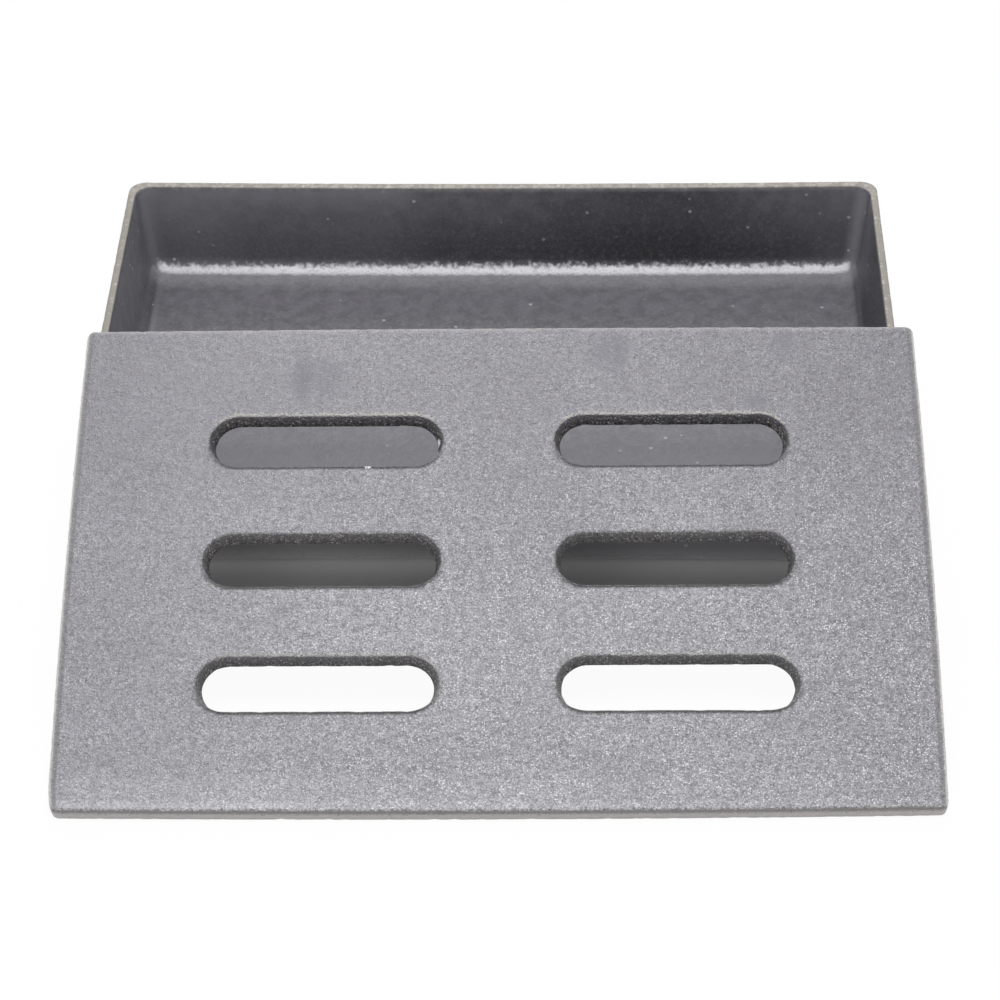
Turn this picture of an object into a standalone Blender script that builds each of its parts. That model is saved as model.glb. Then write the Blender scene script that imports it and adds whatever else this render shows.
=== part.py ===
"""Grill smoker box: an open cast iron tray, and the loose slotted lid that leans on its front rim.

Metres, +Z up, with the front towards -Y. The origin is the middle of the tray's flat underside,
which stands on the same surface as the lid's front edge.
"""

import math

import bmesh
import bpy
from mathutils import Euler, Vector

# Tray, one casting
TRAY_WIDTH = 0.2057
TRAY_DEPTH = 0.132
TRAY_HEIGHT = 0.0294
RIM_WIDTH = 0.0025
SIDE_RIM_WIDTH = 0.0021
RIM_EDGE_ROUND = 0.0004
FLOOR_THICKNESS = 0.0037
WALL_DRAFT_DEG = 5.5
LONG_WALL_DIP = 0.0009
TRAY_CORNER_RADIUS = 0.0044
HOLLOW_CORNER_RADIUS = 0.0045
FLOOR_FILLET = 0.004
UNDERSIDE_ROUND = 0.005

# Lid, one flat casting
LID_WIDTH = 0.2056
LID_DEPTH = 0.1322
LID_THICKNESS = 0.0044
LID_FRONT_BOW = 0.0006
LID_BACK_BOW = 0.0003
LID_SIDE_BOW = 0.0006
LID_CORNER_RADIUS = 0.002
LID_EDGE_ROUND = 0.0005

# Smoke slots through the lid
SLOT_COLUMNS = 2
SLOT_ROWS = 3
SLOT_LENGTH = 0.0566
SLOT_WIDTH = 0.0142
SLOT_COLUMN_PITCH = 0.0842
SLOT_ROW_PITCH = 0.0334
SLOT_DRAFT_DEG = 9.0
SLOT_END_DRAFT_DEG = 15.0
SLOT_EDGE_ROUND = 0.0007

# How the loose lid leans: how far its front edge stands in front of the tray's rim, and how far
# it lies off the tray's middle and out of square with it
LEAN_REACH = 0.0846
LID_SHIFT = 0.0027
LID_TURN_DEG = 0.6
LEAN_CLEARANCE = 0.0003

# How finely the round stretches are cut
CORNER_STEPS = 6
SIDE_STEPS = 8
EDGE_STEPS = 3
FILLET_STEPS = 5
SLOT_END_STEPS = 10
CUT_OVERRUN = 0.002


def clear_scene():
    """Remove whatever the scene starts with."""
    for obj in list(bpy.data.objects):
        bpy.data.objects.remove(obj, do_unlink=True)


def arc(centre, radius, start_deg, end_deg, steps):
    """Points along a circular arc, both ends included."""
    angles = [math.radians(start_deg + (end_deg - start_deg) * i / steps) for i in range(steps + 1)]
    return [(centre[0] + radius * math.cos(a), centre[1] + radius * math.sin(a)) for a in angles]


def bowed_side(start, end, bow):
    """The points strictly between two corners, on a shallow curve that bulges to the right by bow."""
    start, end = Vector(start), Vector(end)
    outward = Vector((end.y - start.y, start.x - end.x)).normalized()
    points = []
    for i in range(1, SIDE_STEPS):
        share = i / SIDE_STEPS
        bulge = bow * (1 - (2 * share - 1) ** 2)
        points.append(tuple(start.lerp(end, share) + outward * bulge))
    return points


def plate_outline(width, depth, radius, bows):
    """A rectangle with round corners, anticlockwise, around the origin.

    The bows say how far the back, left, front and right sides bulge.
    """
    across, along = width / 2 - radius, depth / 2 - radius
    centres = [(across, along), (-across, along), (-across, -along), (across, -along)]
    corners = [arc(c, radius, 90 * i, 90 * (i + 1), CORNER_STEPS) for i, c in enumerate(centres)]
    outline = []
    for i, corner in enumerate(corners):
        following = corners[(i + 1) % len(corners)]
        outline += corner + bowed_side(corner[-1], following[0], bows[i])
    return outline


def stadium_outline(length, width):
    """A slot's outline with half-round ends, anticlockwise, around the origin."""
    radius = width / 2
    across = length / 2 - radius
    right = arc((across, 0), radius, -90, 90, SLOT_END_STEPS)
    left = arc((-across, 0), radius, 90, 270, SLOT_END_STEPS)
    return right + left


def loft(bm, rings):
    """Skin a stack of equal rings of points and cap both ends."""
    loops = [[bm.verts.new(point) for point in ring] for ring in rings]
    for lower, upper in zip(loops, loops[1:]):
        for i in range(len(lower)):
            j = (i + 1) % len(lower)
            bm.faces.new((lower[i], lower[j], upper[j], upper[i]))
    bm.faces.new(list(reversed(loops[0])))
    bm.faces.new(loops[-1])


def mesh_object(name, bm):
    """Make an object from a finished bmesh, with round stretches shaded smooth."""
    bmesh.ops.recalc_face_normals(bm, faces=bm.faces)
    mesh = bpy.data.meshes.new(name)
    bm.to_mesh(mesh)
    bm.free()
    mesh.shade_smooth()
    mesh.set_sharp_from_angle(angle=math.radians(40))
    obj = bpy.data.objects.new(name, mesh)
    bpy.context.scene.collection.objects.link(obj)
    return obj


def cast_iron(name, colour, roughness):
    """A Principled material for bare, seasoned cast iron."""
    material = bpy.data.materials.new(name)
    material.use_nodes = True
    shader = material.node_tree.nodes["Principled BSDF"]
    shader.inputs["Base Color"].default_value = (*colour, 1)
    shader.inputs["Roughness"].default_value = roughness
    shader.inputs["Metallic"].default_value = 0.6
    return material


def wall_inset(height):
    """How far the drafted outer wall has moved in from the rim line at this height."""
    return math.tan(math.radians(WALL_DRAFT_DEG)) * (TRAY_HEIGHT - height)


def side_gain(height):
    """How much further out the hollow's short sides stand than its long ones: all of it at the rim."""
    share = (height - FLOOR_THICKNESS) / (TRAY_HEIGHT - FLOOR_THICKNESS)
    return (RIM_WIDTH - SIDE_RIM_WIDTH) * share


def tray_profile():
    """The wall's section as outer and inner runs of (inset from the outer rim line, height)."""
    stretch = 1 / math.cos(math.radians(WALL_DRAFT_DEG))
    wall_side = 180 + WALL_DRAFT_DEG
    foot = (wall_inset(UNDERSIDE_ROUND) + UNDERSIDE_ROUND * stretch, UNDERSIDE_ROUND)
    under = arc(foot, UNDERSIDE_ROUND, 270, wall_side, FILLET_STEPS)
    rim_height = TRAY_HEIGHT - RIM_EDGE_ROUND
    outer = arc((RIM_EDGE_ROUND, rim_height), RIM_EDGE_ROUND, 180, 90, EDGE_STEPS)
    inner = arc((RIM_WIDTH - RIM_EDGE_ROUND, rim_height), RIM_EDGE_ROUND, 90, 0, EDGE_STEPS)
    fillet_height = FLOOR_THICKNESS + FLOOR_FILLET
    fillet_inset = RIM_WIDTH + wall_inset(fillet_height) + FLOOR_FILLET * stretch
    fillet = arc((fillet_inset, fillet_height), FLOOR_FILLET, wall_side, 270, FILLET_STEPS)
    return under + outer, inner + fillet


def tray_ring(inset, height, radius, gain):
    """One ring round the tray, with its short sides moved out by gain."""
    width, depth = TRAY_WIDTH - 2 * inset + 2 * gain, TRAY_DEPTH - 2 * inset
    outline = plate_outline(width, depth, radius, (-LONG_WALL_DIP, 0, -LONG_WALL_DIP, 0))
    return [(x, y, height) for x, y in outline]


def make_tray():
    """The open tray: drafted walls, a flat narrow rim and a filleted floor, in one closed skin."""
    outer, inner = tray_profile()
    rings = [tray_ring(inset, height, TRAY_CORNER_RADIUS, 0) for inset, height in outer]
    for inset, height in inner:
        rings.append(tray_ring(inset, height, HOLLOW_CORNER_RADIUS, side_gain(height)))
    bm = bmesh.new()
    loft(bm, rings)
    tray = mesh_object("tray", bm)
    tray.data.materials.append(cast_iron("tray_iron", (0.17, 0.17, 0.18), 0.62))
    return tray


def lid_profile():
    """The lid's edge as (inset from its outline, height), from underside to top."""
    low = arc((LID_EDGE_ROUND, LID_EDGE_ROUND), LID_EDGE_ROUND, 270, 180, EDGE_STEPS)
    top = LID_THICKNESS - LID_EDGE_ROUND
    high = arc((LID_EDGE_ROUND, top), LID_EDGE_ROUND, 180, 90, EDGE_STEPS)
    return low + high


def slot_profile(draft_deg):
    """A slot wall as (growth of the slot's outline, height), with both mouths rounded."""
    narrowing = LID_THICKNESS * math.tan(math.radians(draft_deg))
    low_centre = (SLOT_EDGE_ROUND - narrowing, SLOT_EDGE_ROUND)
    low = arc(low_centre, SLOT_EDGE_ROUND, 270, 180, EDGE_STEPS)
    high = arc((SLOT_EDGE_ROUND, LID_THICKNESS - SLOT_EDGE_ROUND), SLOT_EDGE_ROUND, 180, 90, EDGE_STEPS)
    below = (low[0][0], -CUT_OVERRUN)
    above = (high[-1][0], LID_THICKNESS + CUT_OVERRUN)
    return [below] + low + high + [above]


def slot_places():
    """The middle of each slot, in the lid's own frame."""
    places = []
    for row in range(SLOT_ROWS):
        for column in range(SLOT_COLUMNS):
            x = (column - (SLOT_COLUMNS - 1) / 2) * SLOT_COLUMN_PITCH
            y = LID_DEPTH / 2 + (row - (SLOT_ROWS - 1) / 2) * SLOT_ROW_PITCH
            places.append((x, y))
    return places


def make_slot_cutter(parent):
    """Every slot as one guide object, which a Boolean takes out of the lid."""
    sides, ends = slot_profile(SLOT_DRAFT_DEG), slot_profile(SLOT_END_DRAFT_DEG)
    bm = bmesh.new()
    for middle_x, middle_y in slot_places():
        rings = []
        for (growth, height), (end_growth, _) in zip(sides, ends):
            outline = stadium_outline(SLOT_LENGTH + 2 * end_growth, SLOT_WIDTH + 2 * growth)
            rings.append([(middle_x + x, middle_y + y, height) for x, y in outline])
        loft(bm, rings)
    cutter = mesh_object("slot_cutter", bm)
    cutter.parent = parent
    cutter.hide_render = True
    cutter.display_type = "WIRE"
    return cutter


def lean_angle():
    """The tilt at which the underside clears the rim, with the lid's front edge on the table."""
    rise = TRAY_HEIGHT - RIM_EDGE_ROUND - LID_EDGE_ROUND
    between = LID_EDGE_ROUND + RIM_EDGE_ROUND + LEAN_CLEARANCE
    return math.atan2(rise, LEAN_REACH) + math.asin(between / math.hypot(rise, LEAN_REACH))


def lid_front():
    """Where the lid's own origin goes: the middle of its front edge, before the bow and rounding."""
    tilt, turn = lean_angle(), math.radians(LID_TURN_DEG)
    touch_x = TRAY_WIDTH / 2 - TRAY_CORNER_RADIUS
    touch_y = -TRAY_DEPTH / 2 + RIM_EDGE_ROUND
    centre_y = touch_y - (LEAN_REACH + (touch_x - LID_SHIFT) * math.sin(turn)) / math.cos(turn)
    edge_y = LID_EDGE_ROUND - LID_FRONT_BOW
    back = edge_y * math.cos(tilt) - LID_EDGE_ROUND * math.sin(tilt)
    drop = edge_y * math.sin(tilt) + LID_EDGE_ROUND * math.cos(tilt)
    x = LID_SHIFT + back * math.sin(turn)
    y = centre_y - back * math.cos(turn)
    return Vector((x, y, LID_EDGE_ROUND - drop))


def make_lid():
    """The flat lid, leaning with its front edge on the table and its underside on the tray's rim."""
    bows = (LID_BACK_BOW, LID_SIDE_BOW, LID_FRONT_BOW, LID_SIDE_BOW)
    rings = []
    for inset, height in lid_profile():
        width, depth = LID_WIDTH - 2 * inset, LID_DEPTH - 2 * inset
        outline = plate_outline(width, depth, LID_CORNER_RADIUS - inset, bows)
        rings.append([(x, LID_DEPTH / 2 + y, height) for x, y in outline])
    bm = bmesh.new()
    loft(bm, rings)
    lid = mesh_object("lid", bm)
    lid.location = lid_front()
    lid.rotation_euler = Euler((lean_angle(), 0, math.radians(LID_TURN_DEG)), "XYZ")
    slots = lid.modifiers.new("slots", "BOOLEAN")
    slots.operation = "DIFFERENCE"
    slots.object = make_slot_cutter(lid)
    lid.data.materials.append(cast_iron("lid_iron", (0.3, 0.3, 0.32), 0.55))
    return lid


clear_scene()
make_tray()
make_lid()
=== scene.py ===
"""Looks of the grill smoker box: a sand-cast iron tray and its slotted lid on a plain white stage."""

import math

import bmesh
import bpy
import numpy as np
from mathutils import Euler, Matrix, Vector, geometry, kdtree, noise


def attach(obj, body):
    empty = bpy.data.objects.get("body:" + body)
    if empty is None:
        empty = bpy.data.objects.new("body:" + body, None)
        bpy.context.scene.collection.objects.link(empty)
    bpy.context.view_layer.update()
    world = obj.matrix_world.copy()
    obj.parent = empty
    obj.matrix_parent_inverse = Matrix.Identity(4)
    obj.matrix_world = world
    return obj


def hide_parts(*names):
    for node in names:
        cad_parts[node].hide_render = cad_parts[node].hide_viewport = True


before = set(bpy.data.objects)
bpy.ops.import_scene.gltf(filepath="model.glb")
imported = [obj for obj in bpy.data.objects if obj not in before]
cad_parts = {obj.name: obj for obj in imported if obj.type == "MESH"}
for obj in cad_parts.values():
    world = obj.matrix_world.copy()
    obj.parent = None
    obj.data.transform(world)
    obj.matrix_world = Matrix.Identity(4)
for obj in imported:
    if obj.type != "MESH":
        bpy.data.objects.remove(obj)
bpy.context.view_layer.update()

# Tray, one casting, in metres
TRAY_WIDTH = 0.2057
TRAY_DEPTH = 0.132
TRAY_HEIGHT = 0.0294
RIM_WIDTH = 0.0025
SIDE_RIM_WIDTH = 0.0021
RIM_EDGE_ROUND = 0.0004
FLOOR_THICKNESS = 0.0037
WALL_DRAFT = math.radians(5.5)
LONG_WALL_DIP = 0.0009
TRAY_CORNER_RADIUS = 0.0044
HOLLOW_CORNER_RADIUS = 0.0045
FLOOR_FILLET = 0.004
UNDERSIDE_ROUND = 0.005

# Lid, one flat casting
LID_WIDTH = 0.2056
LID_DEPTH = 0.1322
LID_THICKNESS = 0.0044
LID_FRONT_BOW = 0.0006
LID_BACK_BOW = 0.0003
LID_SIDE_BOW = 0.0006
LID_CORNER_RADIUS = 0.002
LID_EDGE_ROUND = 0.0005
SLOT_COLUMNS = 2
SLOT_ROWS = 3
SLOT_LENGTH = 0.0566
SLOT_WIDTH = 0.0142
SLOT_COLUMN_PITCH = 0.0842
SLOT_ROW_PITCH = 0.0334
SLOT_DRAFT = math.radians(9)
SLOT_END_DRAFT = math.radians(15)
SLOT_EDGE_ROUND = 0.0007

# How the loose lid leans on the tray's front rim
LEAN_REACH = 0.0846
LID_SHIFT = 0.0027
LID_TURN = math.radians(0.6)
LEAN_CLEARANCE = 0.0003

# How closely the skins' points lie
RING_SPACING = 0.0009
WALL_SPACING = 0.0012
TOP_SPACING = 0.0009
HIDDEN_SPACING = 0.002
EDGE_STEPS = 4
FILLET_STEPS = 8
CORNER_STEPS = 7
SLOT_WALL_STEPS = 4
GRID_MARGIN_SHARE = 0.6

# The sand mould's marks on both castings: lengths across, and depths into the surface
WAVE_LENGTH = 0.014
WAVE_DEPTH = 0.00008
LUMP_LENGTH = 0.0028
LUMP_DEPTH = 0.00005
CHIP_LENGTH = 0.0022
CHIP_DEPTH = 0.00025
CHIP_SHIFT = (7, 3, 5)
RIM_CHIP_SHARE = 0.4
WORN_CORNER_REACH = 0.008
WORN_CORNER_DEPTH = 0.0007

# Weights painted along the sections: wear round the edges, painted shade on the slots' walls and near
# lips, and painted highlights on their far brows
WORN_FALL_SHARE = 0.7
SLOT_TOP_SHARE = 0.55
SLOT_MOUTH_SHARE = 0.12
BROW_TURN_SHARE = 0.8
BROW_HIGHLIGHT_SHARES = (0.7, 0.3, 1)

# Grain too fine for the mesh: lengths across its lumps, and depths of the bumps
FINE_LENGTH = 0.00036
GRIT_LENGTH = 0.00055
PEBBLE_LENGTH = 0.0013
SPECK_LENGTH = 0.00042
CLUMP_LENGTH = 0.004
CLOUD_LENGTH = 0.03
LID_GRAIN_DEPTH = 0.0009
TRAY_GRAIN_DEPTH = 0.00006
NOISE_MIDDLE = 0.5

# How the grain's layers add up to tones and to bumps
LID_TONE_SHARES = {"fine": 0.66, "pebble": 0.34}
LID_BUMP_SHARES = {"fine": 0.4, "grit": 0.7, "pebble": 0.7}
TRAY_BUMP_SHARES = {"grit": 0.6, "pebble": 1}
SPECKLE_SHARES = {"grit": 0.5, "pebble": 0.5}

# A name ending in STEP holds where a smooth step begins and ends, then what it gives before and
# after, which is 0 and 1 where they are left out. One ending in SPAN gives 1 between its inner two
# numbers and 0 outside its outer two. One ending in DOTS holds a dot's size and the share of cells
# that keep theirs.

# The lid's grain: its tones, its painted glint highlights, its roughness, and how calm it is
GRAIN_STEP = (-0.155, 0.155)
CLOUD_STEP = (0.35, 0.65, 0, 0.2)
SPECK_DOTS = (0.28, 0.6)
GLINT_STEP = (0.35, 0.6, 0.5, 1)
LID_ROUGH_STEP = (0.3, 0.7, 0.55, 0.35)
CRISP_RUN_STEP = (0.055, 0.12, 1, 0.6)
CRISP_ACROSS_STEP = (-0.09, -0.01, 0.7, 1)
CALM_STEP = (0.4, 1, 0.75, 1)
SMUDGE_CALM_SHARE = 0.45
WORN_CALM_SHARE = 0.65

# Paint by how far back from the lid's front edge: a ragged line of painted shade, a painted highlight
# band, and its fade
FRONT_SHADE_LINE_SPAN = (-0.002, -0.0005, 0.0002, 0.0008)
FRONT_SHADE_LINE_SHARE = 0.57
FRONT_HIGHLIGHT_BAND_SPAN = (0.0006, 0.001, 0.0018, 0.0042)
FRONT_FADE_SPAN = (0.0006, 0.001, 0.006, 0.0115)
FRONT_FADE_SHARE = 0.42
FRONT_ACROSS_STEP = (-0.08, 0.08, 1, 0.43)
FRONT_RAGGED = 0.002

# Painted shade at the back of the lid's top and towards its short sides, painted light in its middle,
# and what shows inside its short sides
BACK_RUN_STEP = (0.05, 0.125)
BACK_ACROSS_STEP = (-0.08, 0.08, 0.65, 1)
MIDDLE_RUN_SPAN = (0.015, 0.033, 0.047, 0.07)
MIDDLE_ACROSS_SPAN = (-0.05, -0.01, 0.015, 0.055)
SIDE_TONE_STEP = (0, 0.06, 1, 0)
SIDE_LINE_SPAN = (0.0005, 0.0009, 0.0014, 0.0022)
SIDE_LINE_SHARE = 0.75
SIDE_BARE_STEP = (0.0003, 0.0007, 0.8, 0)
WORN_STEP = (0.3, 0.5, 0.8, 1)

# The lid's slots: their walls' grain and specks, the ragged edges of the painted shade on their walls
# and of the painted highlight on their far brows, and the painted shade on their near lips
SLOT_GRAIN_STEP = (0.42, 0.56)
SLOT_DOTS = (0.3, 0.4)
SLOT_DOT_SHARE = 0.8
SLOT_EDGE_STEP = (0.05, 0.8)
SLOT_RAGGED = 1.8
BROW_HIGHLIGHT_STEP = (0.3, 1, 0, 0.6)
BROW_RAGGED = 2.5
LIP_SHARE = 0.92

# White spots at one slot's edge, in the lid's own frame, and how far each reaches
WHITE_SPOTS = (
    ((-0.0148, 0.1004, 0.0014), 0.0009),
    ((-0.0151, 0.0972, 0.0014), 0.0007),
    ((-0.0318, 0.0927, 0.0044), 0.001),
)
WHITE_SPOT_RAGGED = 1.5
WHITE_SPOT_EDGE_SHARES = (0.8, 1.3)

# Rubbed spots near the lid's back edge: middle and half sizes in the lid's own frame, and strength
SMUDGES = (
    ((-0.0483, 0.1176), (0.0034, 0.0085), 1),
    ((-0.0436, 0.1176), (0.008, 0.0068), 0.6),
    ((0.0292, 0.1256), (0.0032, 0.008), 1),
    ((0.0263, 0.1252), (0.0055, 0.0065), 0.8),
    ((0.0704, 0.1272), (0.0038, 0.0055), 0.8),
    ((0.0629, 0.1098), (0.0032, 0.0042), 0.9),
)
SMUDGE_SHARE = 0.9

# The tray from its left end to its right end, and from a short wall to a long one
EAST_STEP = (-0.05, 0.05)
LONG_SIDE_STEP = (-0.0045, 0.003)
SHORT_SIDE_STEP = (-0.0045, 0.003, 1, 0)

# The tray's grain, its dots and its roughness
TRAY_GRAIN_STEP = (0.3, 0.7)
SPECKLE_STEP = (0.42, 0.75)
SPECKLE_HOLLOW_STEP = (0, 1, 0.3, 0.17)
TRAY_DOTS = (0.08, 0.3)
TRAY_DOT_SHARE = 0.4
TRAY_ROUGH_STEP = (0.3, 0.7, 0.65, 0.55)

# The hollow's floor, front to back: painted light at its front, painted shade where the lid's edge hangs
# over
PAINTED_LIGHT_FLOOR_STEP = (-0.028, -0.005, 0.9, 0)
FLOOR_SHADE_SPAN = (0.01, 0.02, 0.035, 0.0435)
FLOOR_ONLY_STEP = (0, 0.3, 1, 0)

# The tray's outside: painted light on its walls, more at its front's foot and heel
FRONT_ONLY_STEP = (-0.0615, -0.059, 1, 0)
FOOT_STEP = (0.0005, 0.0075, 1, 0)
HEEL_STEP = (0.0012, 0.0034, 1, 0)

# How much painted shade darkens the hollow's walls, from their tops down, on the long and on the short
# sides
LONG_DEEP_STEP = (0, 1, 0.27, 0.9)
SHORT_SHADE_STEP = (-0.03, -0.003, 1, 0)
SHORT_DEEP_STEP = (0, 1, 0.1, 0.72)
SHORT_FOOT_START_STEP = (0, 1, 0.17, 0.35)
SHORT_FOOT_STEP = (0.02, 0.25)
SHORT_FOOT_FADE_STEP = (0.4, 1, 0.8, 0.15)
DARK_RUN_SPAN = (-0.01, 0.045, 0.05, 0.08)

# Where painted light brightens the hollow's walls: at the left end, along the left run, at the right
# end, in corners
LIGHT_LEFT_STEP = (-0.1, -0.045, 0.47, 0)
LIGHT_LEFT_SHORT_STEP = (0, 1, 1, 0.5)
LIGHT_LEFT_WALL_STEP = (0, 1, 1, 0.7)
LIGHT_RUN_STEP = (-0.036, -0.015, 1, 0)
LIGHT_RUN_WALL_STEP = (0, 0.4, 0.45, 0.14)
LIGHT_RIGHT_STEP = (0.075, 0.1, 0, 0.2)
LIGHT_RIGHT_LEAD_STEP = (-0.03, -0.003)
CORNER_LEAD_STEP = (0, 0.006, 1, 0)
CORNER_EAST_STEP = (0, 1, 0.45, 0.62)

# The painted highlight on the fillet at the long walls' foot, by how far in from their rim line, and its
# fade
FILLET_HIGHLIGHT_PEAK_SPAN = (0.0048, 0.0059, 0.0066, 0.0085)
FILLET_HIGHLIGHT_TAIL_SPAN = (0.0068, 0.0078, 0.009, 0.016)
FILLET_HIGHLIGHT_TAIL_SHARE = 0.2
FILLET_HIGHLIGHT_RAGGED = 0.0018
FILLET_HIGHLIGHT_TURN_STEP = (-0.0045, -0.003)
FILLET_HIGHLIGHT_END_STEP = (0.0955, 0.0972, 1, 0)
FILLET_HIGHLIGHT_GRAIN_STEP = (0.35, 0.55, 0.75, 1)
FILLET_HIGHLIGHT_TOP_STEP = (0.8, 0.97, 0.8, 0)

# The tray's rubbed rim: lighter mottles at its back, and a few painted glint highlights
RIM_BACK_STEP = (0.055, 0.063)
RIM_GRAIN_STEP = (0.42, 0.6)
RIM_LIGHT_SHARE = 0.5
RIM_DOTS = (0.25, 0.5)
RIM_DOT_SHARE = 0.2

# Iron colours, as linear shares of red, green and blue
LID_LIGHT = (0.43, 0.424, 0.461)
LID_DARK = (0.194, 0.19, 0.207)
# Next two: painted shade at the back and towards the short sides of the lid's top
BACK_SHADE_TINT = (0.77, 0.765, 0.775)
SIDE_SHADE_TINT = (0.86, 0.86, 0.87)
LID_PIT = (0.15, 0.146, 0.156)
SMUDGE_IRON = (0.137, 0.133, 0.16)
# Next two: a painted highlight behind the lid's front edge, and painted light in its middle
FRONT_HIGHLIGHT_GAIN = (0.125, 0.123, 0.13)
MIDDLE_PAINTED_LIGHT_GAIN = (0.028, 0.028, 0.029)
RUBBED_IRON = (0.43, 0.41, 0.4)
WHITE_SPOT_IRON = (0.95, 0.95, 0.97)
# Next one: a painted highlight on the slots' far brows, also the pale edge along the lid's short sides
BROW_HIGHLIGHT_AND_PALE_EDGE_IRON = (0.58, 0.56, 0.52)
# Next two: painted shade in the slots, on their walls and near lips and along the lid's front edge; the
# second also darkens the walls' pits
SLOT_SHADE_IRON = (0.091, 0.085, 0.089)
PIT_AND_SHADE_IRON = (0.014, 0.013, 0.014)
TRAY_LIGHT = (0.158, 0.154, 0.173)
TRAY_DARK = (0.119, 0.116, 0.132)
# Next one: painted shade on the hollow's walls
WALL_SHADE_IRON = (0.026, 0.025, 0.03)
# Next one: the pale speckle of the tray's grain, also painted light on its floor's front and on its
# walls
SPECKLE_AND_PAINTED_LIGHT_IRON = (0.26, 0.255, 0.285)
# Next four: the outer walls' pale colour and the front's lighter foot and heel are painted light, and
# the tint to the right is painted shade
OUTSIDE_PAINTED_LIGHT_IRON = (0.32, 0.31, 0.318)
FOOT_PAINTED_LIGHT_IRON = (0.74, 0.72, 0.72)
HEEL_PAINTED_LIGHT_IRON = (0.97, 0.95, 0.94)
OUTSIDE_SHADE_TINT = (0.78, 0.78, 0.8)
# Next two: painted shade along the long walls and on the floor behind the lid's back edge
DARK_RUN_SHADE_TINT = (0.55, 0.55, 0.56)
FLOOR_SHADE_TINT = (0.73, 0.73, 0.735)
# Next one: a painted highlight on the fillet at the long walls' foot
FILLET_HIGHLIGHT_IRON = (0.74, 0.735, 0.76)
RIM_IRON = (0.235, 0.217, 0.19)
RIM_LIGHT = (0.4, 0.38, 0.345)
# Next one: light specks on the tray's walls, also painted glint highlights on the lid and the rim
SPECK_AND_PAINTED_GLINT_IRON = (0.78, 0.78, 0.8)
IRON_METALLIC = 0.1

# The table: its size and colours, darker in painted shade under the lid, the patch that the lid covers,
# and how much shade shows there; under the lid the rest is a faint painted glow
TABLE_SIDE = 6
TABLE_WHITE = (0.8, 0.8, 0.8)
# Next two: darker colours of painted shade where the lid covers the table
TABLE_COVERED_SHADE = (0.7, 0.7, 0.7)
TABLE_SHADED = (0.6, 0.6, 0.6)
SHADE_DEPTH_SPAN = (-0.093, -0.075, 0, 0.03)
SHADE_WIDTH_SPAN = (-0.1, -0.085, 0.085, 0.1)
OPEN_SHADE_SHARE = 0.05
COVERED_RUN_STEP = (-0.0695, -0.0615)
COVERED_SHADE_SHARES = (0.993, 0.966)
EAST_SHADE_STEP = (0, 0.05, 0, 0.01)

# The studio: an even fill from all round, and softboxes as name, place, size and power
WORLD_FILL = 0.5
LIT_PLACE = (0, -0.04, 0.02)
SOFTBOXES = (
    ("overhead", (0.08, -0.4, 1.2), (0.5, 0.4), 9),
    ("behind", (0, 1.15, 1.0), (0.6, 0.4), 7.5),
    ("front_fill", (-0.7, -1.2, 0.9), (0.6, 0.6), 2),
)

# Camera, fitted to the photograph's edges
CAMERA_PLACE = (0.0214478, -0.6631062, 0.5163264)
CAMERA_DOWN = math.radians(39.4742)
CAMERA_YAW = math.radians(1.8661)
CAMERA_ROLL = math.radians(-1.1061)
CAMERA_LENS_MM = 113.96
SENSOR_MM = 36


def arc(centre, radius, start_deg, end_deg, steps):
    """Points along a circular arc, both ends included."""
    angles = np.radians(np.linspace(start_deg, end_deg, steps + 1))
    return np.column_stack((centre[0] + radius * np.cos(angles), centre[1] + radius * np.sin(angles)))


def straight(start, end, spacing):
    """Points strictly between two ends, about this far apart."""
    start, end = np.array(start), np.array(end)
    steps = max(1, round(float(np.linalg.norm(end - start)) / spacing))
    shares = np.linspace(0, 1, steps + 1)[1:-1, None]
    return start + shares * (end - start)


def plate_outline(insets, size, radius, bows):
    """A plate's outline, anticlockwise, with as many points at any inset.

    The insets draw its short and its long sides in. The bows say how far the back, left, front
    and right sides bulge.
    """
    half = np.array(size) / 2 - insets
    across, along = half - radius
    centres = ((across, along), (-across, along), (-across, -along), (across, -along))
    corners = [arc(c, radius, 90 * i, 90 * (i + 1), CORNER_STEPS) for i, c in enumerate(centres)]
    runs = []
    for i, corner in enumerate(corners):
        following = corners[(i + 1) % len(corners)]
        steps = round(size[i % 2] / RING_SPACING)
        shares = np.linspace(0, 1, steps + 1)[1:-1, None]
        along_side = following[0] - corner[-1]
        outward = np.array((along_side[1], -along_side[0])) / np.linalg.norm(along_side)
        bulge = bows[i] * (1 - (2 * shares - 1) ** 2)
        runs += [corner, corner[-1] + shares * along_side + bulge * outward]
    return np.concatenate(runs)


def stadium_outline(middle, growth, end_growth):
    """A slot's outline, anticlockwise, with its sides and its ends moved out."""
    radius = SLOT_WIDTH / 2 + growth
    across = SLOT_LENGTH / 2 + end_growth - radius
    steps = round(math.pi * SLOT_WIDTH / 2 / RING_SPACING)
    right = arc((across, 0), radius, -90, 90, steps)
    left = arc((-across, 0), radius, 90, 270, steps)
    shares = np.linspace(0, 1, round((SLOT_LENGTH - SLOT_WIDTH) / RING_SPACING) + 1)[1:-1, None]
    top = right[-1] + shares * (left[0] - right[-1])
    bottom = left[-1] + shares * (right[0] - left[-1])
    return np.concatenate((right, top, left, bottom)) + np.array(middle)


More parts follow.
